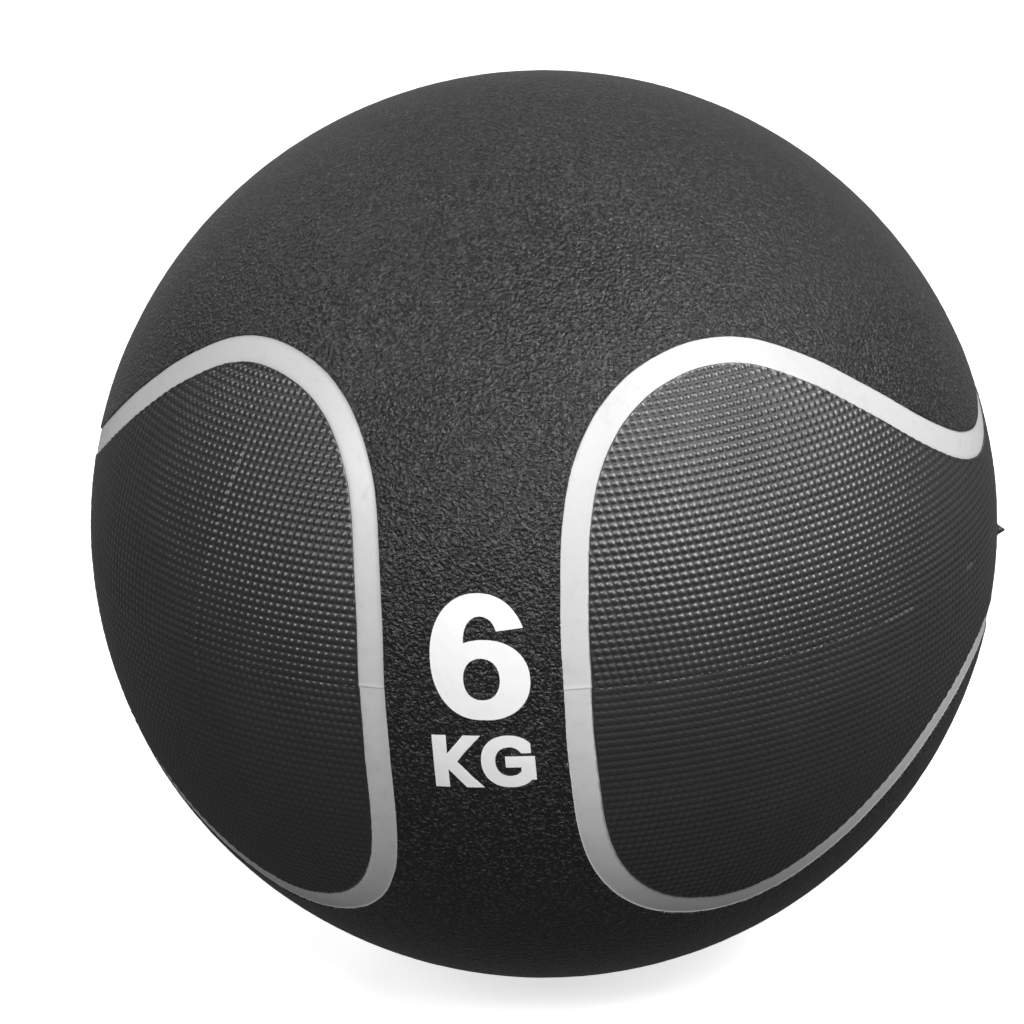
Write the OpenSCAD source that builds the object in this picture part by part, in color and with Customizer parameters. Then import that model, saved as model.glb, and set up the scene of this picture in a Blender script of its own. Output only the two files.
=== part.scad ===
// Rubber medicine ball: an air-filled bladder in a nylon winding and a thick weighted rubber
// wall, covered by moulded rubber panels with two inlaid bands.
// +Z runs along the mould axis through both poles, and the front web faces -Y. The origin is
// the ball's centre. Places on the ball are [longitude, latitude] in degrees, where longitude
// is measured from the front web towards +X.

/* [Ball] */
// Diameter of the ball, mm
ball_d = 230; // [190:5:290]
// Thickness of the outer rubber panels, mm
cover_t = 4; // [3:0.5:5]
// Thickness of the weighted rubber wall, mm
wall_t = 20; // [12:1:26]
// Thickness of the nylon winding, mm
winding_t = 1.2; // [0.8:0.2:2]
// Thickness of the bladder, mm
bladder_t = 2.5; // [1.5:0.5:3.5]

/* [Bands] */
// Width of each inlaid band, mm
band_w = 6.9; // [5:0.1:9]
// How far the band's face lies below the panels, mm
band_recess = 0.45; // [0.2:0.05:0.8]

/* [Valve] */
// Radius of the guide bore for the inflation needle, mm
needle_r = 1.25; // [1.15:0.05:1.5]
// Depth of the guide bore, mm
needle_depth = 9; // [6:1:14]
// Radius of the valve's shank, mm
shank_r = 3; // [2.5:0.25:3.5]
// Radius of the valve's head, mm
head_r = 5; // [4.5:0.5:6]
// Depth of the valve's head below the ball's surface, mm
head_recess = 0.6; // [0.3:0.1:1]

/* [Weight mark] */
// Height of the figure, mm
figure_h = 32; // [26:0.5:34]
// Height of the letters, mm
letter_h = 14.5; // [12:0.5:15]
// Thickness of the printed film, mm
film_t = 0.08; // [0.06:0.02:0.2]

/* [Hidden] */
$fn = 144;
black = [0.07, 0.07, 0.075];
silver = [0.72, 0.72, 0.73];

ball_r = ball_d / 2;
wall_r = ball_r - cover_t;
winding_r = wall_r - wall_t;
bladder_r = winding_r - winding_t;
air_r = bladder_r - bladder_t;
band_r = ball_r - band_recess;

// The seat stands in the wall and ends in a flange inside the bladder.
seat_wall = 4;
seat_r = shank_r + seat_wall;
flange_w = 5;
flange_r = seat_r + flange_w;
flange_t = 3.5;
seat_gap = 0.3;
seat_top = wall_r - seat_gap;
seat_bottom = air_r - flange_t;
head_top = ball_r - head_recess;
mouth_r = 2;
mouth_depth = 0.6;

// Centres of the figure and of the two letters under it, as seen from the front.
mark_x = 2;
figure_y = 9.2;
letter_x = 1.6;
letter_y = -18.3;
letters_w = 1.72 * letter_h;

// Middle line of a band, from the front web up over the hump and down to the dip at the side.
// The other three quarters of its loop mirror this one.
quarter = [
    [12.8, 0], [12.9, 9], [13.9, 20], [16.1, 27.3], [20.5, 33.3], [27, 37.2], [36, 39],
    [45, 37.7], [54, 33], [63, 26.1], [72, 19.2], [81, 14.3], [90, 12.5]
];
last = len(quarter) - 1;
steps = 4;
half_band = band_w / 2 / ball_r * 180 / PI;
// The cutters start at the centre, end well outside the ball and stand on a row of foot points
// just past the equator, further in than the web's edges.
cutter_r = 1.3 * ball_r;
foot_lat = -3;
foot_inset = 15;

// A point of the quarter line, with mirrored neighbours past both of its ends.
function route(i) =
    i < 0 ? [quarter[-i].x, -quarter[-i].y]
    : i > last ? [180 - quarter[2 * last - i].x, quarter[2 * last - i].y]
    : quarter[i];

// Catmull-Rom curve through the points i and i + 1, and its direction.
function curve(i, t) =
    let (a = route(i - 1), b = route(i), c = route(i + 1), d = route(i + 2))
    (2 * b + (c - a) * t + (2 * a - 5 * b + 4 * c - d) * t * t
        + (3 * b - a - 3 * c + d) * t * t * t) / 2;
function heading(i, t) =
    let (a = route(i - 1), b = route(i), c = route(i + 1), d = route(i + 2))
    ((c - a) + 2 * (2 * a - 5 * b + 4 * c - d) * t + 3 * (3 * b - a - 3 * c + d) * t * t) / 2;

// The curve moved sideways by an angle, outwards when it is positive.
function beside(i, t, angle) =
    let (p = curve(i, t), h = heading(i, t), across = [-h.y, h.x * cos(p.y)])
    p + [across.x / cos(p.y), across.y] * angle / norm(across);

// Upper edge of a band's loop, from the front web to the back web.
function front_edge(angle) = [
    for (i = [0 : last - 1], k = [0 : steps - 1]) beside(i, k / steps, angle)
];
function upper_edge(angle) =
    let (front = front_edge(angle), n = len(front))
    concat(
        front,
        [beside(last - 1, 1, angle)],
        [for (i = [n - 1 : -1 : 0]) [180 - front[i].x, front[i].y]]
    );

function on_sphere(p, r) = r * [cos(p.y) * sin(p.x), -cos(p.y) * cos(p.x), sin(p.y)];

// Cone from the centre through the upper half of a loop on the right side.
module loop_cutter(angle) {
    edge = upper_edge(angle);
    n = len(edge);
    start = edge[0].x + foot_inset;
    pitch = (180 - 2 * start) / (n - 1);
    foot = [for (i = [0 : n - 1]) [start + i * pitch, foot_lat]];
    points = concat(
        [[0, 0, 0]],
        [for (p = edge) on_sphere(p, cutter_r)],
        [for (p = foot) on_sphere(p, cutter_r)]
    );
    faces = concat(
        [for (i = [1 : n - 1]) [0, i + 1, i]],
        [for (i = [1 : n - 1]) [0, n + i, n + i + 1]],
        [for (i = [1 : n - 1]) [i, i + 1, n + i]],
        [for (i = [1 : n - 1]) [n + i, i + 1, n + i + 1]],
        [[0, 1, n + 1], [0, 2 * n, n]]
    );
    polyhedron(points, faces, convexity = 6);
}

// The spheres' own seam is turned to the front web, where no band crosses it.
module ball(r) rotate([0, 0, -90]) sphere(r);

module shell(outer_r, inner_r) {
    difference() {
        ball(outer_r);
        ball(inner_r);
    }
}

module upper_space() {
    translate([-ball_d, -ball_d, 0]) cube([2 * ball_d, 2 * ball_d, ball_d]);
}

module upper_shell(outer_r, inner_r) {
    intersection() {
        shell(outer_r, inner_r);
        upper_space();
    }
}

module to_left() mirror([1, 0, 0]) children();
module to_lower() mirror([0, 0, 1]) children();

// A hole or rod on the valve's axis at the lower pole.
module valve_rod(r, from, to) {
    translate([0, 0, -to]) cylinder(r = r, h = to - from);
}

module bladder() {
    color("dimgray") difference() {
        shell(bladder_r, air_r);
        valve_rod(seat_r, air_r / 2, ball_r);
    }
}

module winding() {
    color("ivory") difference() {
        shell(winding_r, bladder_r);
        valve_rod(seat_r, air_r / 2, ball_r);
    }
}

module wall_upper() color([0.2, 0.2, 0.2]) upper_shell(wall_r, winding_r);

module wall_lower() {
    color([0.2, 0.2, 0.2]) difference() {
        to_lower() upper_shell(wall_r, winding_r);
        valve_rod(seat_r, air_r / 2, ball_r);
    }
}

// Cap and both web halves in one moulding.
module cover_half() {
    difference() {
        upper_shell(ball_r, wall_r);
        loop_cutter(half_band);
        to_left() loop_cutter(half_band);
    }
}

module cover_upper() color(black) cover_half();

module cover_lower() {
    color(black) difference() {
        to_lower() cover_half();
        valve_rod(head_r, wall_r / 2, ball_d);
    }
}

module band_half() {
    difference() {
        intersection() {
            upper_shell(band_r, wall_r);
            loop_cutter(half_band);
        }
        loop_cutter(-half_band);
    }
}

module band_right_upper() color(silver) band_half();
module band_right_lower() color(silver) to_lower() band_half();
module band_left_upper() color(silver) to_left() band_half();
module band_left_lower() color(silver) to_left() to_lower() band_half();

module grip_half() {
    intersection() {
        upper_shell(ball_r, wall_r);
        loop_cutter(-half_band);
    }
}

module grip_right_upper() color(black) grip_half();
module grip_right_lower() color(black) to_lower() grip_half();
module grip_left_upper() color(black) to_left() grip_half();
module grip_left_lower() color(black) to_left() to_lower() grip_half();

// Rubber stem moulded to the bladder, with a flange against its inner face.
module valve_seat() {
    color("dimgray") difference() {
        union() {
            valve_rod(seat_r, seat_bottom, seat_top);
            intersection() {
                valve_rod(flange_r, seat_bottom, ball_r);
                ball(air_r);
            }
        }
        valve_rod(shank_r, 0, ball_d);
    }
}

// Plug pressed into the seat, with the needle's guide bore in its head.
module valve_plug() {
    color(black) difference() {
        union() {
            valve_rod(shank_r, seat_bottom, seat_top);
            valve_rod(head_r, seat_top, head_top);
        }
        valve_rod(needle_r, head_top - needle_depth, ball_d);
        valve_rod(mouth_r, head_top - mouth_depth, ball_d);
    }
}

module oval(w, h) scale([w / 2, h / 2]) circle(1, $fn = 48);

// Figure six, h tall: a bowl in front of a tall oval that is open at the upper right.
module figure_six(h) {
    w = 0.756 * h;
    // The opening's upper edge rises to the right.
    edge_left = 0.195 * h;
    edge_right = 0.28 * h;
    difference() {
        union() {
            difference() {
                oval(w, h);
                translate([0.015 * h, 0.12 * h]) oval(0.265 * h, 0.41 * h);
                polygon([[0, -h / 2], [w, -h / 2], [w, edge_right], [0, edge_left]]);
            }
            translate([0.035 * h, -0.178 * h]) oval(0.694 * h, 0.644 * h);
        }
        translate([0.012 * h, -0.169 * h]) oval(0.28 * h, 0.336 * h);
    }
}

// Capital K, h tall, with its left edge on the Y axis.
module letter_k(h) {
    stem = 0.24 * h;
    reach = 0.83 * h;
    foot = 0.3 * h;
    waist = 0.4 * h;
    notch = 0.15 * h;
    translate([0, -h / 2]) square([stem, h]);
    polygon([
        [0, 0], [stem, notch], [reach - foot, h / 2], [reach, h / 2], [waist, 0],
        [reach, -h / 2], [reach - foot, -h / 2], [stem, -notch]
    ]);
}

// Capital G, h tall, with its right edge on the Y axis.
module letter_g(h) {
    w = 0.86 * h;
    stroke = 0.24 * h;
    // The round part belongs to a wider oval, cut off short of the letter's right edge.
    round_w = w + 0.1 * h;
    round_right = 0.43 * w;
    inner_h = 0.56 * h;
    bar_left = -0.07 * h;
    bar_top = 0.1 * h;
    bar_bottom = -0.11 * h;
    gap_top = 0.16 * h;
    spur_bottom = -0.36 * h;
    translate([-w / 2, 0]) {
        intersection() {
            difference() {
                oval(round_w, h);
                oval(round_w - 2 * stroke, inner_h);
                translate([0, bar_bottom]) square([w, gap_top - bar_bottom]);
            }
            translate([-w, -h / 2]) square([w + round_right, h]);
        }
        translate([bar_left, bar_bottom]) square([w / 2 - bar_left, bar_top - bar_bottom]);
        translate([w / 2 - stroke, spur_bottom]) square([stroke, bar_top - spur_bottom]);
    }
}

module weight_mark() {
    color("white") intersection() {
        shell(ball_r + film_t, ball_r);
        rotate([90, 0, 0]) linear_extrude(ball_d) {
            translate([mark_x, figure_y]) figure_six(figure_h);
            translate([letter_x - letters_w / 2, letter_y]) letter_k(letter_h);
            translate([letter_x + letters_w / 2, letter_y]) letter_g(letter_h);
        }
    }
}

bladder();
winding();
wall_upper();
wall_lower();
cover_upper();
cover_lower();
band_right_upper();
band_right_lower();
band_left_upper();
band_left_lower();
grip_right_upper();
grip_right_lower();
grip_left_upper();
grip_left_lower();
valve_seat();
valve_plug();
weight_mark();
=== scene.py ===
import math

import bmesh
import bpy
import numpy as np
from mathutils import Matrix, Vector, kdtree, noise
from mathutils.geometry import delaunay_2d_cdt


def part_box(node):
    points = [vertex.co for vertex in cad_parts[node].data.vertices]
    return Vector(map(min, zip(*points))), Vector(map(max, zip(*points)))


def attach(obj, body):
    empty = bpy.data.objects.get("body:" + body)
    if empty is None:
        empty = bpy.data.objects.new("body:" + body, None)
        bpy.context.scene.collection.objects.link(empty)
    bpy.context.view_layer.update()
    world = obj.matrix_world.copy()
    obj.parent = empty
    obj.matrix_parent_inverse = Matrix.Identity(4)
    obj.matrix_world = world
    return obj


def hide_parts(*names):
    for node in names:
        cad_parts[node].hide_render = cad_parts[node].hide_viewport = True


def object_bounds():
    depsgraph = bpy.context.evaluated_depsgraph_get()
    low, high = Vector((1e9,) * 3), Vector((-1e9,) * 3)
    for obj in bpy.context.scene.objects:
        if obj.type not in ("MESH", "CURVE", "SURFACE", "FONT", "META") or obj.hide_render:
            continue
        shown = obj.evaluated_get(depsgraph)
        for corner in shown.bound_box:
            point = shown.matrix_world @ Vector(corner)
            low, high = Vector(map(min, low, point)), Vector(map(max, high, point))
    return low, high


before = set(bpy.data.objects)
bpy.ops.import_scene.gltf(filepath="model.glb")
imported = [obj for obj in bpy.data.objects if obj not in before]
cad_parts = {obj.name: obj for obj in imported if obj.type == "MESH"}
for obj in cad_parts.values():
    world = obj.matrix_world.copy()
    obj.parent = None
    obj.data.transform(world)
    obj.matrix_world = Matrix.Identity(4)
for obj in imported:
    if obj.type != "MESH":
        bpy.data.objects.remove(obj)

CAD_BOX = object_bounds()

# Lengths in this script are millimetres, like the CAD's, until a mesh is made. The ball's centre
# is the origin, +Z is the mould axis and the front web faces -Y. Longitude runs from the front
# web towards +X, latitude up from the parting line, both in degrees.
TO_METRES = 0.001
BALL_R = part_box("cover_upper")[1].z / TO_METRES
WALL_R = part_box("wall_upper")[1].z / TO_METRES
DEGREE = math.radians(1) * BALL_R

# Half the band's width, how far its face lies below the panels and how much it is crowned.
BAND_HALF = 3.45
BAND_RECESS = 0.45
BAND_CROWN = 0.06
# The sway of the band's line, and the jagged run of its cover-side edge: height, size and seed of the
# noise, in mm.
BAND_SWAY = ((0.16, 18, 3), (0.05, 5, 4))
BAND_JAG = (0.05, 1.1, 5)
# How far the lower half's grip-side edge steps towards the web at the parting line, and where along
# the band that step starts and ends.
LOWER_STEP = 0.2
STEP_REACH = (5, 22)
# Radius of a panel's shoulder along a band: 1 is the cover's side of the band, -1 the grip's. Every
# shoulder has a row of points at each of these turns.
EDGE_ROUND = {1: 0.22, -1: 0.25}
SHOULDER_TURNS = np.radians((0, 30, 60, 90))
# Round the valve: gap beside the plug's head and radius of the cover's shoulder.
VALVE_GAP = 0.15
VALVE_ROUND = 0.5
# The band's middle line from the front web over its hump to the dip at the side. The other three
# quarters of the loop mirror it.
QUARTER = [
    (12.8, 0), (12.9, 9), (13.9, 20), (16.1, 27.3), (20.5, 33.3), (27, 37.2), (36, 39),
    (45, 37.7), (54, 33), (63, 26.1), (72, 19.2), (81, 14.3), (90, 12.5),
]
# Points on the smooth curve between two of those.
ROUTE_DETAIL = 60
# Distances from the parting line, in mm, at which every mesh has a row, to carry the mould line.
SEAM_ROWS = [0.0, 0.13, 0.26, 0.42, 0.7]
# Distance between points along a band, and along the finer line that other points are measured from.
ROUTE_STEP = 0.55
FINE_STEP = 0.2
# Distance between points on the skin and on the hidden inner faces, and from either to an edge.
COVER_SPACING = 0.72
COARSE_SPACING = 6
EDGE_CLEARANCE = 0.3
COARSE_CLEARANCE = 2
# The cover's skin: height, size and seed of its low swells, how far it lies below the ball's surface
# between them, and the height and half width of the mould line on it, in mm.
SKIN_SWELLS = ((0.05, 2.4, 1), (0.04, 7, 2))
SKIN_DROP = 0.03
MOULD_LINE = (0.07, 0.16)
# Edges of the meshes that meet at more than this stay sharp.
SHARP = math.radians(70)

# The grips' beads stand in level rows, and in columns that lean towards the webs on both sides of the
# parting line, most of all beside a web and not at all halfway round. Both are counted per degree.
ROWS_PER_DEGREE = 0.985
COLUMNS_PER_DEGREE = 89 / 90
COLUMN_LEAN = 0.34
LEAN_FADE = 1.3
# How tall the beads are, and where the mesh has its points across each of them. They fill the pitch of
# their columns and rows.
BEAD_HEIGHT = 0.46
BEAD_PARTS = (0, 0.15, 0.38, 0.62, 0.85)
# The power that shapes a bead's dome, and the share of its height that the lowest bead lacks.
DOME_POWER = 0.7
BEAD_VARIETY = 0.16
# The bead columns and rows that a quarter of a grip can reach.
GRIP_COLUMNS = (9, 89)
GRIP_ROWS = (0, 42)
# Hands reach down this far from the beads' tops.
# The gaps between the beads carry painted shade and a duller finish, from their floors up to this far below
# the beads' tops.
VALLEY_SHADE_DEPTH = 0.28
# What is left of the beads' relief at a panel's edge, and how much of it the lower half keeps.
EDGE_BEADS = 0.6
LOWER_SOFTNESS = 0.85
# A faint ridge follows a column of the left grip, in front, up to where it fades: column, height in
# mm, half width in columns, and the latitudes between which it fades.
RIDGE_COLUMN = 39.5
RIDGE_HEIGHT = 0.3
RIDGE_WIDTH = 0.4
RIDGE_FADE = (24, 30)
# Torn flash along the grips' parting line: its height and half width. Nothing but the nib stands
# further than the proud limit above the beads' tops.
FLASH_HEIGHT = 0.12
FLASH_WIDTH = 0.16
PROUD_LIMIT = 0.25
# A groove and a run of pits lie on the right grip's parting line: longitude, half length in degrees,
# depth and half width.
GROOVE = (58.5, 2.6, 0.5, 0.3)
PITS = (82, 7, 0.9, 0.5)
# A nib of torn rubber stands out of the right grip: longitude and half width in degrees, height above
# the parting line, half width upwards, and how far it stands out.
NIB_LON = 98
NIB_HALF_LON = 0.5
NIB_Z = -7
NIB_HALF_Z = 1.1
NIB_HEIGHT = 2.2
# On the band, the flash stands this far above the parting line, this high and this wide.
BAND_FLASH_AT = 0.5
BAND_FLASH_HEIGHT = 0.16
BAND_FLASH_WIDTH = 0.22
# How far the band's rubber has run over the cover's shoulder at most: along the cover, and upwards.
SPILL_OVER = 0.5
SPILL_UP = 0.35

# The printed mark: its heights, where its middles lie on the front web, the letters' width together,
# how far the film stands above the skin, and the power that makes its ovals a little squarer.
FIGURE_H = 32
FIGURE_AT = (2, 9.2)
LETTER_H = 14.5
LETTERS_AT = (1.6, -18.3)
LETTERS_W = 1.72 * LETTER_H
FILM = 0.07
OVAL_POWER = 0.92

SIDES = {"right": 1, "left": -1}
HALVES = {"upper": 1, "lower": -1}


# ---------------------------------------------------------------- places on the ball

def on_ball(lon, lat, r=BALL_R):
    """Points at these longitudes and latitudes, r from the ball's centre."""
    lon, lat = np.broadcast_arrays(np.radians(lon), np.radians(lat))
    way = np.stack([np.cos(lat) * np.sin(lon), -np.cos(lat) * np.cos(lon), np.sin(lat)], -1)
    return way * np.asarray(r)[..., None]


def lon_lat(p):
    """Longitudes and latitudes of points."""
    r = np.linalg.norm(p, axis=-1)
    return np.degrees(np.arctan2(p[..., 0], -p[..., 1])), np.degrees(np.arcsin(p[..., 2] / r))


def smooth(x, low, high):
    """A smooth step from 0 to 1 as x goes from low to high."""
    t = np.clip((x - low) / (high - low), 0, 1)
    return t * t * (3 - 2 * t)


def bell(x, width):
    """One at x = 0, falling to nothing over a few widths."""
    return np.exp(-(x / width) ** 2)


def wave(p, size, seed):
    """Smooth noise from -1 to 1 at the points p, in mm, with features of about that size."""
    q = np.asarray(p) / size + 17.3 * seed
    return np.array([noise.noise(Vector(v)) for v in q.reshape(-1, 3).tolist()]).reshape(q.shape[:-1])


def swells(p, layers):
    """Sum of several layers of that noise, each given by its height, size and seed."""
    return sum(height * wave(p, size, seed) for height, size, seed in layers)


# ---------------------------------------------------------------- the bands' route

def catmull_rom(points, per_segment):
    """Points and headings along a Catmull-Rom curve through the inner points."""
    p = np.array(points, float)
    t = np.arange(per_segment)[:, None] / per_segment
    places, headings = [], []
    for a, b, c, d in zip(p, p[1:], p[2:], p[3:]):
        quadratic, cubic = 2 * a - 5 * b + 4 * c - d, 3 * b - a - 3 * c + d
        places.append((2 * b + (c - a) * t + quadratic * t ** 2 + cubic * t ** 3) / 2)
        headings.append(((c - a) + 2 * quadratic * t + 3 * cubic * t ** 2) / 2)
    places.append(p[-2:-1])
    headings.append((p[-1:] - p[-3:-2]) / 2)
    return np.concatenate(places), np.concatenate(headings)


class Route:
    """The upper half of a band's loop on the right side, from the front web to the back web."""

    def __init__(self, step, seam_rows):
        before = (QUARTER[1][0], -QUARTER[1][1])
        after = (180 - QUARTER[-2][0], QUARTER[-2][1])
        place, heading = catmull_rom([before, *QUARTER, after], ROUTE_DETAIL)
        place = np.concatenate([place, (place[-2::-1] * (-1, 1)) + (180, 0)])
        heading = np.concatenate([heading, heading[-2::-1] * (1, -1)])
        narrow = np.cos(np.radians(place[:, 1]))
        across = np.stack([-heading[:, 1], heading[:, 0] * narrow], -1)
        across /= np.linalg.norm(across, axis=1)[:, None]
        p = on_ball(place[:, 0], place[:, 1])
        length = np.concatenate([[0], np.cumsum(np.linalg.norm(np.diff(p, axis=0), axis=1))])
        self.length = length[-1]
        count = round((self.length - 2 * seam_rows[-1]) / step)
        inner = np.linspace(seam_rows[-1], self.length - seam_rows[-1], count + 1)
        self.s = np.concatenate([seam_rows[:-1], inner, self.length - np.array(seam_rows[-2::-1])])

        def at(values):
            return np.interp(self.s, length, values)

        self.lon, self.lat = at(place[:, 0]), at(place[:, 1])
        self.east, self.north = at(across[:, 0]), at(across[:, 1])
        self.lat[[0, -1]] = 0
        self.north[[0, -1]] = 0

    def beside(self, offset, r=BALL_R):
        """The route moved outwards, away from the grip, by offset mm, at radius r."""
        lon = self.lon + self.east * offset / DEGREE / np.cos(np.radians(self.lat))
        lat = self.lat + self.north * offset / DEGREE
        return on_ball(lon, lat, np.broadcast_to(r, lon.shape))


ROUTE = Route(ROUTE_STEP, SEAM_ROWS)
FINE_ROUTE = Route(FINE_STEP, [0.0, FINE_STEP])
FINE_LINE = FINE_ROUTE.beside(0)
FINE_ACROSS = FINE_ROUTE.beside(0.5) - FINE_ROUTE.beside(-0.5)
FINE_TREE = kdtree.KDTree(len(FINE_LINE))
for index, point in enumerate(FINE_LINE.tolist()):
    FINE_TREE.insert(point, index)
FINE_TREE.balance()


def from_route(p):
    """Distance in mm of points on the ball from the band's middle line, positive outside the loop,
    and how far along the line they are."""
    folded = np.abs(p) * (1, 0, 1) + p * (0, 1, 0)
    nearest = np.array([FINE_TREE.find(v)[1] for v in folded.tolist()])
    distance = np.einsum("ij,ij->i", folded - FINE_LINE[nearest], FINE_ACROSS[nearest])
    return distance, FINE_ROUTE.s[nearest]


def band_edges(side, half):
    """Offsets in mm of a band's grip-side and cover-side edges along its route, with their wobble."""
    p = ROUTE.beside(0) * (side, 1, half)
    middle = swells(p, BAND_SWAY)
    near_seam = 1 - smooth(np.minimum(ROUTE.s, ROUTE.length - ROUTE.s), *STEP_REACH)
    step = LOWER_STEP * near_seam if half < 0 else 0
    return middle - BAND_HALF + step, middle + BAND_HALF + swells(p, [BAND_JAG])


EDGES = {(side, half): band_edges(side, half)
         for side in SIDES.values() for half in HALVES.values()}


# ---------------------------------------------------------------- surfaces and solids

def loop_edges(sizes):
    """Edges round closed loops of points that follow one another."""
    edges, start = [], 0
    for size in sizes:
        edges += [(start + i, start + (i + 1) % size) for i in range(size)]
        start += size
    return edges


def fill(flat, loop_sizes):
    """Triangles between the flat points, whose first ones make closed loops: inside the first loop, and
    not between the points of any other, which is a hole."""
    out = delaunay_2d_cdt([Vector(v) for v in flat.tolist()], loop_edges(loop_sizes), [], 1, 1e-9)
    origin = np.array([found[0] if found else -1 for found in out[3]])
    if len(origin) != len(flat):
        raise ValueError("the outline crosses itself or meets a point inside it")
    faces = origin[np.array(out[2])]
    start = loop_sizes[0]
    for size in loop_sizes[1:]:
        faces = faces[~np.all((faces >= start) & (faces < start + size), axis=1)]
        start += size
    return faces


def from_pole(p):
    """Map of the ball's upper half that keeps distances from the pole."""
    polar = np.degrees(np.arccos(np.clip(p[:, 2] / np.linalg.norm(p, axis=1), -1, 1)))
    turn = np.arctan2(p[:, 1], p[:, 0])
    return np.stack([polar * np.cos(turn), polar * np.sin(turn)], -1)


def from_side(p):
    """The same map round the point at the right side."""
    return from_pole(np.stack([-p[:, 1], p[:, 2], p[:, 0]], -1))


def strips(rows, closed=False):
    """Quads between neighbouring rows of points."""
    if closed:
        rows = [np.concatenate([row, row[:1]]) for row in rows]
    count, length = len(rows), len(rows[0])
    i, j = np.meshgrid(np.arange(count - 1), np.arange(length - 1), indexing="ij")
    a = (i * length + j).ravel()
    return np.concatenate(rows), np.stack([a, a + 1, a + length + 1, a + length], -1)


def ball_lattice(spacing):
    """Evenly spaced points on the upper half of the ball: an icosahedron divided into triangles."""
    golden = (1 + 5 ** 0.5) / 2
    corners = [(x, y, 0) for x in (-1, 1) for y in (-golden, golden)]
    corners = np.array([c[k:] + c[:k] for c in corners for k in range(3)], float)
    corners /= np.linalg.norm(corners[0])
    near = np.linalg.norm(corners[:, None] - corners[None], axis=2) < 1.1
    faces = [(a, b, c) for a in range(12) for b in range(a) for c in range(b)
             if near[a, b] and near[b, c] and near[a, c]]
    # Each edge of an icosahedron spans this angle as seen from its middle.
    n = round(math.atan(2) * BALL_R / spacing)
    i, j = np.array([(i, j) for i in range(n + 1) for j in range(n + 1 - i)]).T
    share = np.stack([i, j, n - i - j], -1) / n
    p = np.concatenate([share @ corners[list(f)] for f in faces])
    p /= np.linalg.norm(p, axis=1)[:, None]
    p = p[p[:, 2] > 0]
    return p[np.unique(np.round(p, 6), axis=0, return_index=True)[1]] * BALL_R


class Solid:
    """A closed mesh put together from surfaces that share their edges' points."""

    def __init__(self):
        self.points, self.faces, self.count = [], [], 0

    def add(self, points, faces):
        self.points.append(np.asarray(points, float))
        self.faces += [tuple(f) for f in (np.asarray(faces) + self.count).tolist()]
        self.count += len(points)

    def cap(self, loop):
        """Closes a flat loop of points in the parting plane."""
        loop = np.asarray(loop)
        loop = loop[np.linalg.norm(loop - np.roll(loop, 1, axis=0), axis=1) > 1e-6]
        self.add(loop, fill(loop[:, :2], [len(loop)]))

    def make(self, name, node, slot, mirror):
        points = np.concatenate(self.points) * mirror
        _, first, index = np.unique(np.round(points, 5), axis=0, return_index=True, return_inverse=True)
        points, index = points[first], index.ravel()
        faces = [tuple(dict.fromkeys(index[list(f)].tolist())) for f in self.faces]
        mesh = bpy.data.meshes.new(name)
        mesh.from_pydata((points * TO_METRES).tolist(), [], [f for f in faces if len(f) > 2])
        bm = bmesh.new()
        bm.from_mesh(mesh)
        bmesh.ops.recalc_face_normals(bm, faces=bm.faces)
        bm.to_mesh(mesh)
        bm.free()
        mesh.shade_smooth()
        mesh.set_sharp_from_angle(angle=SHARP)
        piece = bpy.data.objects.new(name, mesh)
        bpy.context.scene.collection.objects.link(piece)
        mesh.materials.append(MATERIALS[slot])
        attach(piece, "root")
        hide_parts(node)


def seam_lons(start, end, spacing):
    """Evenly spaced longitudes going from point start to point end, without the two ends."""
    first, last = lon_lat(np.stack([start, end]))[0]
    span = (last - first) % 360
    return first + np.linspace(0, span, round(span * DEGREE / spacing) + 1)[1:-1]


def panel_edge(side, half, out, relief):
    """Rows of points down a panel's edge along a band: a rounded shoulder, then a wall to the foot."""
    line = EDGES[side, half][1 if out > 0 else 0]
    shoulder = EDGE_ROUND[out]
    rows = []
    for turn in SHOULDER_TURNS:
        row = ROUTE.beside(line + out * shoulder * (1 - np.sin(turn)))
        lift = relief(row * (side, 1, half)) - shoulder * (1 - np.cos(turn))
        rows.append(row * (1 + lift / BALL_R)[:, None] * (side, 1, 1))
    rows.append(ROUTE.beside(line, WALL_R) * (side, 1, 1))
    return rows


def clear_of_edge(p, side, half, out):
    """Which points lie on the panel's side of the band, far enough from its edge for good triangles."""
    distance, s = from_route(p)
    line = np.interp(s, ROUTE.s, EDGES[side, half][1 if out > 0 else 0])
    return out * (distance - line) > EDGE_ROUND[out] + EDGE_CLEARANCE


def raise_by(p, relief, half):
    """Points of the upper half moved out to the relief of their own half."""
    return p * (1 + relief(p * (1, 1, half)) / BALL_R)[:, None]


# ---------------------------------------------------------------- covers

def cover_relief(p):
    """Height in mm of the cover's skin above the ball: low swells, and the mould line."""
    height, width = MOULD_LINE
    return swells(p, SKIN_SWELLS) + height * bell(p[:, 2], width) - SKIN_DROP


def valve_ring(rho, r):
    """Ring round the pole, rho from the axis, on a ball of radius r."""
    turn = np.radians(np.arange(0, 360, 5))
    height = np.full(len(turn), (r * r - rho * rho) ** 0.5)
    return np.stack([rho * np.cos(turn), rho * np.sin(turn), height], -1)


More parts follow.
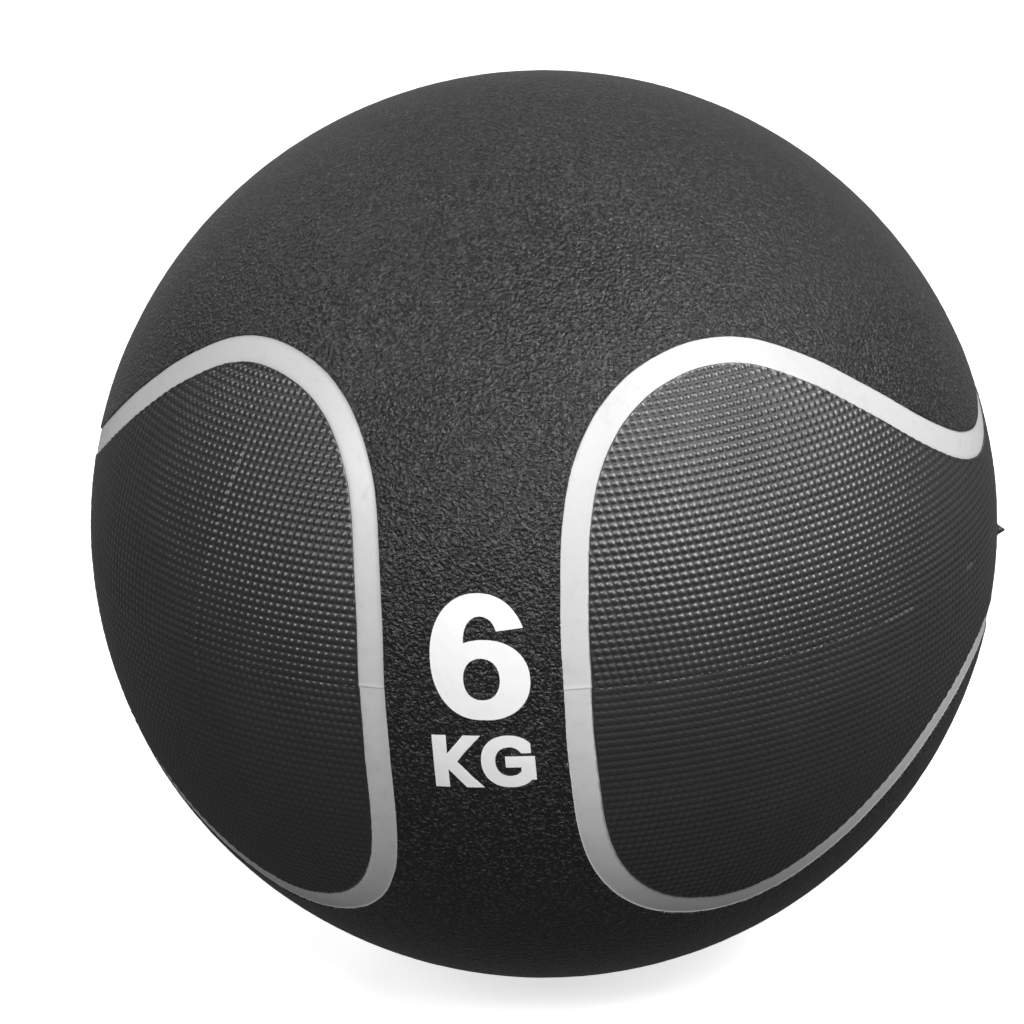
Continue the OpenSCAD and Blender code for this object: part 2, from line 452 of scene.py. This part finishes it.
def make_cover(name, half):
    """A cover, made in the upper half and mirrored down for the lower one: skin, edges and inner face."""
    solid = Solid()
    right, left = (panel_edge(side, half, 1, cover_relief) for side in (1, -1))
    for rows in (right, left):
        solid.add(*strips(rows))
    front_lons = seam_lons(left[0][0], right[0][0], COVER_SPACING)
    back_lons = seam_lons(right[0][-1], left[0][-1], COVER_SPACING)
    arcs = [raise_by(on_ball(lons, 0), cover_relief, half) for lons in (front_lons, back_lons)]
    inner_arcs = [on_ball(lons, 0, np.full(len(lons), WALL_R)) for lons in (front_lons, back_lons)]

    rings = []
    if half < 0:
        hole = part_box("valve_plug")[1].x / TO_METRES
        for turn in SHOULDER_TURNS:
            back, down = VALVE_ROUND * (1 - np.sin(turn)), VALVE_ROUND * (1 - np.cos(turn))
            rings.append(raise_by(valve_ring(hole + VALVE_GAP + back, BALL_R - down), cover_relief, half))
        rings.append(valve_ring(hole + VALVE_GAP, WALL_R))
        solid.add(*strips(rings, closed=True))

    web_lons = np.concatenate([front_lons, back_lons])
    seam = [on_ball(web_lons, math.degrees(height / BALL_R)) for height in SEAM_ROWS[1:]]
    grid = ball_lattice(COVER_SPACING)
    grid = grid[grid[:, 2] > SEAM_ROWS[-1] + EDGE_CLEARANCE]
    clear_right, clear_left = (clear_of_edge(grid, side, half, 1) for side in (1, -1))
    grid = grid[np.where(grid[:, 0] > 0, clear_right, clear_left)]
    coarse = ball_lattice(COARSE_SPACING)
    coarse = coarse[coarse[:, 2] > COARSE_SPACING / 2]
    coarse = coarse[from_route(coarse)[0] > BAND_HALF + COARSE_CLEARANCE] * (WALL_R / BALL_R)
    if half < 0:
        mouth = hole + VALVE_GAP + VALVE_ROUND
        grid = grid[np.hypot(grid[:, 0], grid[:, 1]) > mouth + EDGE_CLEARANCE]
        coarse = coarse[np.hypot(coarse[:, 0], coarse[:, 1]) > hole + COARSE_CLEARANCE]

    skin = raise_by(np.concatenate([*seam, grid]), cover_relief, half)
    for row, (front_arc, back_arc), middle in ((0, arcs, skin), (-1, inner_arcs, coarse)):
        loop = np.concatenate([right[row], back_arc, left[row][::-1], front_arc])
        loops = [loop, rings[row]] if rings else [loop]
        points = np.concatenate([*loops, middle])
        solid.add(points, fill(from_pole(points), [len(loop) for loop in loops]))

    for i, start, end in ((0, left, right), (-1, right, left)):
        down, up = [row[i] for row in end], [row[i] for row in start[:0:-1]]
        solid.cap([start[0][i], *arcs[i], *down, *inner_arcs[i][::-1], *up])
    solid.make(name + "_skin", name, "cover_rubber", (1, 1, half))


# ---------------------------------------------------------------- grips

def column_at(lon, lat):
    """Number of the bead column at a place in the front upper quarter of a grip."""
    lean = COLUMN_LEAN * np.maximum(1 - lon / 90, 0) ** LEAN_FADE
    return COLUMNS_PER_DEGREE * lon + lean * lat


def scatter(column, row, front, side, half):
    """A number from 0 to 1 for each bead, with no order from bead to bead but the same every run."""
    number = np.stack([column, row, front], -1) @ (12.99, 78.23, 37.7 * side + 11.3 * half)
    number = np.sin(number) * 43758.5
    return number - np.floor(number)


def seam_mark(turn, z, lon, half_length, depth, half_width):
    """Depth in mm of a mark along the parting line, with blunt ends and soft sides."""
    return depth * np.exp(-((turn - lon) / half_length) ** 4) * bell(z, half_width)


def bead_relief(side, half):
    """Height in mm of a grip's surface above the ball: rows of round beads whose tops reach the ball,
    and the flash, marks and nib that the mould left."""

    def relief(p):
        turn = lon_lat(p)[0]
        lon, lat = lon_lat(np.abs(p) * (1, -1, 1))
        column, row = column_at(lon, lat), ROWS_PER_DEGREE * lat
        across = 2 * (column - np.floor(column)) - 1
        up = 2 * (row - np.floor(row)) - 1
        dome = np.clip(1 - across ** 2 - up ** 2, 0, 1) ** DOME_POWER
        own = scatter(np.floor(column), np.floor(row), np.sign(p[:, 1]), side, half)
        soft = (0.9 + 0.1 * wave(p, 14, 6)) * (1 if half > 0 else LOWER_SOFTNESS)
        height = BEAD_HEIGHT * soft * dome * (1 - BEAD_VARIETY * own)
        if side < 0:
            fade = (1 - smooth(lat, *RIDGE_FADE)) * (p[:, 1] < 0)
            height = height + RIDGE_HEIGHT * bell(column - RIDGE_COLUMN, RIDGE_WIDTH) * fade
        along_seam, z = p * (1, 1, 0), p[:, 2]
        torn = smooth(wave(along_seam, 5, 8), -0.25, 0.15)
        height = height + FLASH_HEIGHT * torn * bell(z, FLASH_WIDTH)
        height = height - seam_mark(turn, z, *GROOVE)
        height = height - seam_mark(turn, z, *PITS) * smooth(wave(along_seam, 3.2, 9), 0.12, 0.3)
        nib = bell(turn - NIB_LON, NIB_HALF_LON) * bell(z - NIB_Z, NIB_HALF_Z)
        return np.minimum(height - BEAD_HEIGHT, PROUD_LIMIT) + NIB_HEIGHT * nib
    return relief


def grip_grid():
    """Lons and lats of a grip's points in its upper half: a few for every bead, column by column."""
    parts = np.array(BEAD_PARTS)
    columns = (np.arange(*GRIP_COLUMNS)[:, None] + parts).ravel()
    rows = (np.arange(*GRIP_ROWS)[:, None] + parts).ravel() / ROWS_PER_DEGREE
    rows = rows[rows * DEGREE > SEAM_ROWS[-1] + EDGE_CLEARANCE]
    rows = np.concatenate([np.array(SEAM_ROWS) / DEGREE, rows])
    column, lat = (grid.ravel() for grid in np.meshgrid(columns, rows))
    lon = column / COLUMNS_PER_DEGREE
    # A column's lean depends on the longitude itself, which is found by steps that soon settle.
    for _ in range(20):
        lon = lon + (column - column_at(lon, lat)) / COLUMNS_PER_DEGREE
    middle = np.full(len(rows), 90.0)
    return np.concatenate([lon, middle, 180 - lon]), np.concatenate([lat, rows, lat])


def make_grip(name, side, half):
    """A grip panel, made in the upper right quarter and mirrored to its place."""
    solid = Solid()
    relief = bead_relief(side, half)

    def edge_relief(p):
        return EDGE_BEADS * relief(p)

    edge = [row * (side, 1, 1) for row in panel_edge(side, half, -1, edge_relief)]
    solid.add(*strips(edge))
    lon, lat = grip_grid()
    clear = clear_of_edge(on_ball(lon, lat), side, half, -1)
    points = on_ball(lon, lat)[clear & (lat > 0)]
    seam = np.sort(lon[clear & (lat == 0)])[::-1]

    def place(p):
        return p * (1 + relief(p * (side, 1, half)) / BALL_R)[:, None]

    arc = place(on_ball(seam, 0))
    inner_arc = on_ball(seam, 0, np.full(len(seam), WALL_R))
    coarse = ball_lattice(COARSE_SPACING)
    coarse = coarse[(coarse[:, 2] > COARSE_SPACING / 2) & (coarse[:, 0] > 0)]
    coarse = coarse[from_route(coarse)[0] < -BAND_HALF - COARSE_CLEARANCE] * (WALL_R / BALL_R)
    for row, along_seam, middle in ((0, arc, place(points)), (-1, inner_arc, coarse)):
        loop = np.concatenate([edge[row], along_seam])
        points = np.concatenate([loop, middle])
        solid.add(points, fill(from_side(points), [len(loop)]))
    solid.cap([*arc, *[row[0] for row in edge], *inner_arc[::-1], *[row[-1] for row in edge[::-1]]])
    solid.make(name + "_beads", name, "grip_rubber", (side, 1, half))


# ---------------------------------------------------------------- bands

def make_band(name, side, half):
    """A moulded strip in its groove: slightly crowned, with a thin lip run up the cover's shoulder."""
    inner, outer = EDGES[side, half]
    face = BALL_R - BAND_RECESS
    world = ROUTE.beside(0) * (side, 1, half)
    from_seam = np.minimum(ROUTE.s, ROUTE.length - ROUTE.s)
    flash = BAND_FLASH_HEIGHT * bell(from_seam - BAND_FLASH_AT, BAND_FLASH_WIDTH) if half > 0 else 0
    # The spill comes in short runs, along some stretches of the band only.
    spill = np.clip(wave(world, 1.6, 12) - 0.1, 0, 1) * smooth(wave(world, 30, 13), -0.1, 0.3) * 0.9

    def crown(share):
        return face + BAND_CROWN * (1 - (2 * share - 1) ** 4)

    # The strip's outline from its grip side to its cover side: share of the width, and radius. The lip
    # is the last point but one.
    profile = [(0, WALL_R), (0, face - 0.12), (0.05, face)]
    profile += [(share, crown(share)) for share in (0.15, 0.3, 0.5, 0.7, 0.85)]
    profile += [(0.955, face + 0.02), (1, face + 0.1), (1, BALL_R - 0.14), (1, WALL_R)]
    lip = len(profile) - 2
    rows = []
    for number, (share, r) in enumerate(profile):
        offset = inner + share * (outer - inner)
        if number == lip:
            p = ROUTE.beside(offset + (0.05 + SPILL_OVER * spill), r + SPILL_UP * spill)
        else:
            p = ROUTE.beside(offset, r + (flash if r > WALL_R else 0))
        if r > WALL_R:
            p = p * (1 + 0.035 * wave(p * (side, 1, half), 6, 14) / BALL_R)[:, None]
        rows.append(p)
    solid = Solid()
    solid.add(*strips(rows + rows[:1]))
    for i in (0, -1):
        solid.cap([row[i] for row in rows])
    solid.make(name + "_strip", name, "band_rubber", (side, 1, half))


# ---------------------------------------------------------------- printed mark

def oval(w, h, x=0, y=0):
    """An oval that is a little squarer than an ellipse."""
    turn = np.radians(np.arange(0, 360, 4))
    way = np.stack([np.cos(turn), np.sin(turn)], -1)
    return np.sign(way) * np.abs(way) ** OVAL_POWER * (w / 2, h / 2) + (x, y)


def box(x0, y0, x1, y1):
    """The corners of an upright rectangle."""
    return np.array([(x0, y0), (x1, y0), (x1, y1), (x0, y1)], float)


def inside(outline, p):
    """Whether each point lies inside a closed outline, by counting crossings."""
    a, b = outline[None], np.roll(outline, -1, axis=0)[None]
    x, y = p[:, :1], p[:, 1:]
    rise = np.where(a[..., 1] == b[..., 1], 1, b[..., 1] - a[..., 1])
    crossed_at = a[..., 0] + (y - a[..., 1]) / rise * (b[..., 0] - a[..., 0])
    crossing = ((a[..., 1] > y) != (b[..., 1] > y)) & (x < crossed_at)
    return crossing.sum(1) % 2 == 1


def figure_six(h):
    """Figure six, h tall: a bowl in front of a tall oval that is open at the upper right."""
    w, edge_left, edge_right = 0.756 * h, 0.195 * h, 0.28 * h
    tall = oval(w, h)
    slot = oval(0.265 * h, 0.41 * h, 0.015 * h, 0.12 * h)
    corner = np.array([(0, -h / 2), (w, -h / 2), (w, edge_right), (0, edge_left)])
    bowl = oval(0.694 * h, 0.644 * h, 0.035 * h, -0.178 * h)
    eye = oval(0.28 * h, 0.336 * h, 0.012 * h, -0.169 * h)

    def keep(tall, slot, corner, bowl, eye):
        return ((tall & ~slot & ~corner) | bowl) & ~eye

    return [tall, slot, corner, bowl, eye], keep


def letter_k(h):
    """Capital K, h tall, with its left edge on the Y axis."""
    stem, reach, foot, waist, notch = 0.24 * h, 0.83 * h, 0.3 * h, 0.4 * h, 0.15 * h
    upright = box(0, -h / 2, stem, h / 2)
    arms = np.array([(0, 0), (stem, notch), (reach - foot, h / 2), (reach, h / 2), (waist, 0),
                     (reach, -h / 2), (reach - foot, -h / 2), (stem, -notch)], float)

    def keep(upright, arms):
        return upright | arms

    return [upright, arms], keep


def letter_g(h):
    """Capital G, h tall, with its right edge on the Y axis: a ring that is cut off and open at the right,
    with a bar into the opening and a spur down from the bar."""
    w, stroke, bar_top = 0.86 * h, 0.24 * h, 0.1 * h
    bar_bottom = bar_top - 0.21 * h
    round_w, round_right = w + 0.1 * h, 0.43 * w
    outer = oval(round_w, h)
    inner = oval(round_w - 2 * stroke, 0.56 * h)
    gap = box(0, bar_bottom, w, bar_top + 0.06 * h)
    left = box(-w, -h / 2, round_right, h / 2)
    bar = box(-0.07 * h, bar_bottom, w / 2, bar_top)
    spur = box(w / 2 - stroke, -0.36 * h, w / 2, bar_top)

    def keep(outer, inner, gap, left, bar, spur):
        return (outer & ~inner & ~gap & left) | bar | spur

    return [outline - (w / 2, 0) for outline in (outer, inner, gap, left, bar, spur)], keep


def rim_edges(faces):
    """Edges that only one of the triangles has."""
    pairs = np.sort(np.concatenate([faces[:, [0, 1]], faces[:, [1, 2]], faces[:, [2, 0]]]), axis=1)
    pairs, times = np.unique(pairs, axis=0, return_counts=True)
    return pairs[times == 1]


def glyph_mesh(outlines, keep):
    """Flat points and even triangles of the shape that keep makes out of the outlines: the outlines
    alone give its border, and the border with a grid inside it gives the triangles."""

    def kept(points, edges):
        out = delaunay_2d_cdt([Vector(v) for v in points.tolist()], edges, [], 0, 1e-4)
        flat = np.array([tuple(v) for v in out[0]])
        faces = np.array([f for f in out[2] if len(f) == 3])
        middle = flat[faces].mean(1)
        return flat, faces[keep(*(inside(outline, middle) for outline in outlines))]

    flat, faces = kept(np.concatenate(outlines), loop_edges([len(outline) for outline in outlines]))
    used, rim = np.unique(rim_edges(faces), return_inverse=True)
    border, rim = flat[used], rim.reshape(-1, 2)
    x, y = np.meshgrid(*(np.arange(a, b, COVER_SPACING) for a, b in zip(border.min(0), border.max(0))))
    grid = np.stack([x.ravel(), y.ravel()], -1)
    start, way = border[rim[:, 0]], border[rim[:, 1]] - border[rim[:, 0]]
    share = np.clip(((grid[:, None] - start) * way).sum(2) / (way ** 2).sum(1), 0, 1)
    gap = np.linalg.norm(grid[:, None] - start - share[..., None] * way, axis=2).min(1)
    return kept(np.concatenate([border, grid[gap > EDGE_CLEARANCE]]), rim.tolist())


def make_mark():
    """The weight, printed on the front web as a thin film that lies on the cover's skin."""
    solid = Solid()
    middle, height = LETTERS_AT
    glyphs = [(figure_six(FIGURE_H), FIGURE_AT), (letter_k(LETTER_H), (middle - LETTERS_W / 2, height)),
              (letter_g(LETTER_H), (middle + LETTERS_W / 2, height))]
    for (outlines, keep), place in glyphs:
        flat, faces = glyph_mesh(outlines, keep)
        flat = flat + place
        p = np.stack([flat[:, 0], -np.sqrt(BALL_R ** 2 - (flat ** 2).sum(1)), flat[:, 1]], -1)
        lift = cover_relief(p)
        top = p * (1 + (lift + FILM) / BALL_R)[:, None]
        bottom = p * (1 + (lift - FILM) / BALL_R)[:, None]
        count = len(p)
        rim = rim_edges(faces)
        solid.add(np.concatenate([top, bottom]), np.concatenate([faces, faces[:, ::-1] + count]))
        rim = rim + solid.count - 2 * count
        solid.faces += [(a, b, b + count, a + count) for a, b in rim.tolist()]
    solid.make("weight_mark_film", "weight_mark", "print_ink", (1, 1, 1))


# ---------------------------------------------------------------- materials

class Look:
    """A material made of nodes, on one glossy shader."""

    def __init__(self, name, **sockets):
        self.material = bpy.data.materials.new(name)
        self.material.use_nodes = True
        self.tree = self.material.node_tree
        self.shader = self.tree.nodes["Principled BSDF"]
        self.place = self.node("ShaderNodeTexCoord").outputs["Object"]
        self.set(self.shader, sockets)

    def set(self, node, sockets):
        for name, value in sockets.items():
            key = name.replace("_", " ") if isinstance(name, str) else name
            if isinstance(value, bpy.types.NodeSocket):
                self.tree.links.new(value, node.inputs[key])
            else:
                node.inputs[key].default_value = value

    def node(self, kind, sockets=None, **settings):
        node = self.tree.nodes.new(kind)
        for name, value in settings.items():
            setattr(node, name, value)
        self.set(node, sockets or {})
        return node

    def noise(self, size, detail=2.0, roughness=0.5, distortion=0.0):
        """Smooth noise with features of about size mm, from 0 to 1."""
        return self.node("ShaderNodeTexNoise", {
            "Vector": self.place, "Scale": 1 / (size * TO_METRES), "Detail": detail,
            "Roughness": roughness, "Distortion": distortion}).outputs["Fac"]

    def cells(self, size):
        """Distance from the middle of each of many cells of about size mm."""
        return self.node("ShaderNodeTexVoronoi", {
            "Vector": self.place, "Scale": 1 / (size * TO_METRES)}).outputs["Distance"]

    def math(self, operation, *values):
        return self.node("ShaderNodeMath", dict(enumerate(values)), operation=operation).outputs[0]

    def between(self, value, low, high, to_low=0.0, to_high=1.0):
        """A smooth step from to_low to to_high as the value goes from low to high."""
        return self.node("ShaderNodeMapRange", {
            "Value": value, "From Min": low, "From Max": high, "To Min": to_low, "To Max": to_high},
            interpolation_type="SMOOTHSTEP").outputs["Result"]

    def mix(self, share, first, second):
        """A colour from first, where share is 0, to second, where it is 1."""
        sockets = {0: share, 6: grey(first), 7: grey(second)}
        return self.node("ShaderNodeMix", sockets, data_type="RGBA").outputs[2]

    def bump(self, *layers):
        """Heights from 0 to 1, each with its depth in mm, one on top of the other."""
        normal = None
        for height, depth in layers:
            sockets = {"Height": height, "Distance": depth * TO_METRES, "Strength": 1.0}
            if normal:
                sockets["Normal"] = normal
            normal = self.node("ShaderNodeBump", sockets).outputs["Normal"]
        self.set(self.shader, {"Normal": normal})


def grey(value):
    """A colour for a socket, out of a brightness, a red, green and blue, or another node's output."""
    if isinstance(value, bpy.types.NodeSocket):
        return value
    return (*value, 1) if isinstance(value, tuple) else (value, value, value, 1)


def cover_rubber():
    """Semi-matt black rubber, moulded with a fine leather grain whose crests are paler, partly from wear and
    partly as painted glint.
    """
    look = Look("cover_rubber", IOR=1.5)
    worms = look.noise(1.3, 1.5, 0.5, 0.8)
    ridges = look.between(look.math("ABSOLUTE", look.math("SUBTRACT", worms, 0.5)), 0.0, 0.14, 1.0, 0.0)
    lumps = look.noise(0.95, 1.0)
    grain = look.noise(0.5, 1, 0.6)
    look.bump((ridges, 0.1), (lumps, 0.78), (grain, 0.09))
    stain = look.between(look.noise(22, 3), 0.35, 0.7)
    # The grain's crests are made paler: partly wear, partly painted glint that stands in for the sparkle of
    # light on them.
    worn_and_painted_glint = look.between(lumps, 0.5, 0.68)
    look.set(look.shader, {
        "Base Color": look.mix(worn_and_painted_glint, look.mix(stain, 0.009, 0.012), 0.045),
        "Roughness": look.between(grain, 0.3, 0.7, 0.28, 0.4)})
    return look.material


def grip_rubber():
    """Black rubber of the beaded panels, glossy on the beads and duller between them, with painted shade
    darkening the gaps between the beads.
    """
    look = Look("grip_rubber", IOR=1.65, Specular_IOR_Level=0.78)
    grain = look.noise(0.35, 2, 0.6)
    look.bump((grain, 0.03))
    height = look.node("ShaderNodeVectorMath", {0: look.place}, operation="LENGTH").outputs["Value"]
    top = BALL_R * TO_METRES
    # Share that is 0 in the gaps between the beads and 1 near their tops: it sets the painted shade in the
    # gaps and their duller finish.
    out_of_valley_shade = look.between(height, top - BEAD_HEIGHT * TO_METRES, top - VALLEY_SHADE_DEPTH * TO_METRES)
    stain = look.between(look.noise(16, 3), 0.35, 0.7)
    # Painted shade: the base colour falls to near black in the gaps between the beads, where shade falls.
    look.set(look.shader, {
        "Base Color": look.mix(out_of_valley_shade, 0.002, look.mix(stain, 0.014, 0.019)),
        "Roughness": look.between(out_of_valley_shade, 0, 1, 0.62, look.between(grain, 0.3, 0.7, 0.32, 0.44))})
    return look.material


def band_rubber():
    """Pale satin rubber with a fine grain and faint handling marks."""
    look = Look("band_rubber", IOR=1.48)
    grain = look.noise(0.3, 2, 0.6)
    look.bump((grain, 0.012), (look.noise(3.5, 2), 0.05))
    marks = look.between(look.noise(4, 4, 0.65, 0.5), 0.5, 0.75)
    look.set(look.shader, {
        "Base Color": look.mix(marks, 0.62, 0.56),
        "Roughness": look.between(marks, 0, 1, 0.38, 0.5)})
    return look.material


def print_ink():
    """White ink that lets a little of the grain below show."""
    look = Look("print_ink", IOR=1.45)
    grain = look.noise(0.9, 2, 0.6)
    look.bump((grain, 0.02))
    thin = look.between(look.noise(0.6, 3, 0.7), 0.62, 0.78)
    look.set(look.shader, {
        "Base Color": look.mix(thin, 0.97, 0.9),
        "Roughness": look.between(grain, 0.3, 0.7, 0.5, 0.62)})
    return look.material


def filled_rubber():
    """Heavy rubber mixed with mineral filler, seen only when the ball is cut open."""
    look = Look("filled_rubber", IOR=1.5)
    crumb = look.cells(1.8)
    look.bump((crumb, 0.25), (look.noise(0.5, 3), 0.08))
    look.set(look.shader, {
        "Base Color": look.mix(look.between(crumb, 0.1, 0.5), (0.055, 0.052, 0.05), (0.024, 0.023, 0.022)),
        "Roughness": look.between(crumb, 0, 0.6, 0.7, 0.9)})
    return look.material


def butyl_rubber():
    """Smooth dark butyl with talc left from the mould."""
    look = Look("butyl_rubber", IOR=1.5)
    talc = look.between(look.noise(9, 5, 0.7), 0.45, 0.75)
    look.bump((look.noise(1.2, 2), 0.05))
    look.set(look.shader, {
        "Base Color": look.mix(talc, 0.02, (0.12, 0.115, 0.11)),
        "Roughness": look.between(talc, 0, 1, 0.4, 0.85)})
    return look.material


def valve_rubber():
    """Soft black rubber, slightly shiny, with turning marks round the needle's mouth."""
    look = Look("valve_rubber", IOR=1.5)
    spin = look.node("ShaderNodeTexWave", {
        "Vector": look.place, "Scale": 900.0, "Distortion": 1.5, "Detail": 1.0},
        wave_type="RINGS", rings_direction="Z").outputs["Fac"]
    look.bump((spin, 0.02), (look.noise(0.4, 2), 0.03))
    look.set(look.shader, {
        "Base Color": look.mix(look.noise(2, 2), 0.012, 0.03),
        "Roughness": look.between(spin, 0, 1, 0.35, 0.5)})
    return look.material


def nylon_thread():
    """Thread wound over the bladder in crossing layers and set in latex."""
    look = Look("nylon_thread", IOR=1.53)
    layers = []
    for turn in ((0.4, 0.9, 0.2), (1.3, 0.3, 1.1), (0.1, 1.7, 0.6)):
        turned = look.node("ShaderNodeVectorRotate", {"Vector": look.place, "Rotation": turn},
                           rotation_type="EULER_XYZ").outputs[0]
        sockets = {"Vector": turned, "Scale": 320.0, "Distortion": 2.0, "Detail": 1.0}
        layers.append(look.node("ShaderNodeTexWave", sockets, bands_direction="Z").outputs["Fac"])
    wound = look.math("MAXIMUM", look.math("MAXIMUM", layers[0], layers[1]), layers[2])
    look.bump((wound, 0.3))
    look.set(look.shader, {
        "Base Color": look.mix(wound, (0.16, 0.13, 0.09), (0.62, 0.57, 0.46)),
        "Roughness": look.between(wound, 0, 1, 0.8, 0.5)})
    return look.material


MATERIALS = {make.__name__: make() for make in (
    cover_rubber, grip_rubber, band_rubber, print_ink,
    filled_rubber, butyl_rubber, valve_rubber, nylon_thread)}
# The CAD's own nodes that stay, and the material that each gets.
CARRIED = {
    "bladder": "butyl_rubber", "winding": "nylon_thread", "wall_upper": "filled_rubber",
    "wall_lower": "filled_rubber", "valve_seat": "butyl_rubber", "valve_plug": "valve_rubber",
}
for node, slot in CARRIED.items():
    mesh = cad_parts[node].data
    mesh.materials.clear()
    mesh.materials.append(MATERIALS[slot])


# ---------------------------------------------------------------- the ball

for half_name, half in HALVES.items():
    make_cover("cover_" + half_name, half)
    for side_name, side in SIDES.items():
        make_grip(f"grip_{side_name}_{half_name}", side, half)
        make_band(f"band_{side_name}_{half_name}", side, half)
make_mark()


# ---------------------------------------------------------------- floor, light and camera

def make_floor():
    """Pale floor that shines a little by itself, and neither lights the ball nor mirrors in it."""
    look = Look("studio_floor", Roughness=0.8, IOR=1.3, Emission_Strength=0.7)
    look.set(look.shader, {"Base Color": look.mix(look.noise(60, 3), 0.86, 0.9),
                           "Emission Color": (1, 1, 1, 1)})
    mesh = bpy.data.meshes.new("studio_floor")
    corners = box(-FLOOR_REACH, -FLOOR_REACH, FLOOR_REACH, FLOOR_REACH)
    mesh.from_pydata([(x, y, CAD_BOX[0].z) for x, y in corners.tolist()], [], [(0, 1, 2, 3)])
    mesh.materials.append(look.material)
    floor = bpy.data.objects.new("studio_floor", mesh)
    floor.visible_diffuse = False
    floor.visible_glossy = False
    bpy.context.scene.collection.objects.link(floor)


def toward(azimuth, elevation):
    """Direction in which something stands: azimuth 0 is in front, at -Y, and 90 at +X."""
    azimuth, elevation = math.radians(azimuth), math.radians(elevation)
    return Vector((math.cos(elevation) * math.sin(azimuth), -math.cos(elevation) * math.cos(azimuth),
                   math.sin(elevation)))


def make_softbox(name, azimuth, elevation, distance, size, power):
    """A round lamp that faces the ball. Its power is in watts."""
    light = bpy.data.lights.new(name, "AREA")
    light.shape = "DISK"
    light.size = size
    light.energy = power
    lamp = bpy.data.objects.new(name, light)
    way = toward(azimuth, elevation)
    lamp.location = way * distance
    lamp.rotation_euler = way.to_track_quat("Z", "Y").to_euler()
    bpy.context.scene.collection.objects.link(lamp)


def make_camera():
    """The camera stands a little to the right of the front web, above the ball, slightly rolled."""
    azimuth, elevation, distance, roll = 9.8, 20.8, 2.30, math.radians(3.2)
    aim_left, aim_up = 0.0081, 0.0030
    data = bpy.data.cameras.new("camera")
    data.lens = 318.8
    data.sensor_width = 36
    way = toward(azimuth, elevation)
    flat_right = Vector((0, 0, 1)).cross(way).normalized()
    flat_up = way.cross(flat_right)
    right = flat_right * math.cos(roll) - flat_up * math.sin(roll)
    up = flat_up * math.cos(roll) + flat_right * math.sin(roll)
    place = way * distance
    back = (place - (up * aim_up - right * aim_left)).normalized()
    right = up.cross(back).normalized()
    up = back.cross(right)
    camera = bpy.data.objects.new("camera", data)
    camera.matrix_world = Matrix.Translation(place) @ Matrix((right, up, back)).transposed().to_4x4()
    bpy.context.scene.collection.objects.link(camera)
    bpy.context.scene.camera = camera


def make_world():
    """Dim room with a paler backdrop behind the ball. Where the camera sees past the floor, it is pale."""
    world = bpy.data.worlds.new("studio")
    world.use_nodes = True
    tree = world.node_tree
    split = tree.nodes.new("ShaderNodeSeparateXYZ")
    tree.links.new(tree.nodes.new("ShaderNodeTexCoord").outputs["Generated"], split.inputs[0])

    def fade(value, low, high, to_low, to_high):
        """A smooth step from to_low to to_high as the value goes from low to high."""
        node = tree.nodes.new("ShaderNodeMapRange")
        node.interpolation_type = "SMOOTHSTEP"
        for name, number in (("From Min", low), ("From Max", high), ("To Min", to_low), ("To Max", to_high)):
            node.inputs[name].default_value = number
        tree.links.new(value, node.inputs["Value"])
        return node.outputs["Result"]

    def join(operation, first, second):
        node = tree.nodes.new("ShaderNodeMath")
        node.operation = operation
        for value, socket in ((first, node.inputs[0]), (second, node.inputs[1])):
            tree.links.new(value, socket)
        return node.outputs[0]

    # Z and Y are parts of the direction in which the room is seen: Z up, and Y to the back.
    room = fade(split.outputs["Z"], -0.3, 0.4, ROOM_BELOW, ROOM_ABOVE)
    backdrop = join("MULTIPLY", fade(split.outputs["Y"], 0.0, 0.7, 0.0, BACKDROP),
                    fade(split.outputs["Z"], -0.5, -0.15, 0.0, 1.0))
    seen = fade(tree.nodes.new("ShaderNodeLightPath").outputs["Is Camera Ray"], 0.0, 1.0, 0.0, ROOM_SEEN)
    tree.links.new(join("MAXIMUM", join("ADD", room, backdrop), seen),
                   tree.nodes["Background"].inputs["Strength"])
    tree.nodes["Background"].inputs["Color"].default_value = (1, 1, 1, 1)
    bpy.context.scene.world = world


# Each softbox: azimuth, elevation, distance and size in metres, and the light that a white card facing
# it would show.
SOFTBOXES = {
    "front_light": (8, 42, 1.9, 0.7, 0.44),
    "right_light": (66, 42, 1.9, 0.7, 0.57),
    "lower_right_light": (66, 25, 1.9, 0.7, 0.33),
    "left_light": (-40, 30, 1.9, 0.7, 0.38),
    "back_light": (180, 34, 1.9, 0.4, 0.04),
    "back_right_light": (130, 36, 1.9, 0.4, 0.12),
    "back_left_light": (-130, 36, 1.9, 0.4, 0.14),
}
# How bright the room is overhead and towards the floor, how much the backdrop adds behind the ball,
# and how bright the camera sees it all.
ROOM_ABOVE = 0.02
ROOM_BELOW = 0.11
BACKDROP = 0.22
ROOM_SEEN = 0.82
# The floor's edges lie this far from the ball, in metres.
FLOOR_REACH = 4.0

make_floor()
for name, (azimuth, elevation, distance, size, card) in SOFTBOXES.items():
    make_softbox(name, azimuth, elevation, distance, size, card * math.pi ** 2 * distance ** 2)
make_world()
bpy.context.scene.view_settings.view_transform = "Standard"
make_camera()
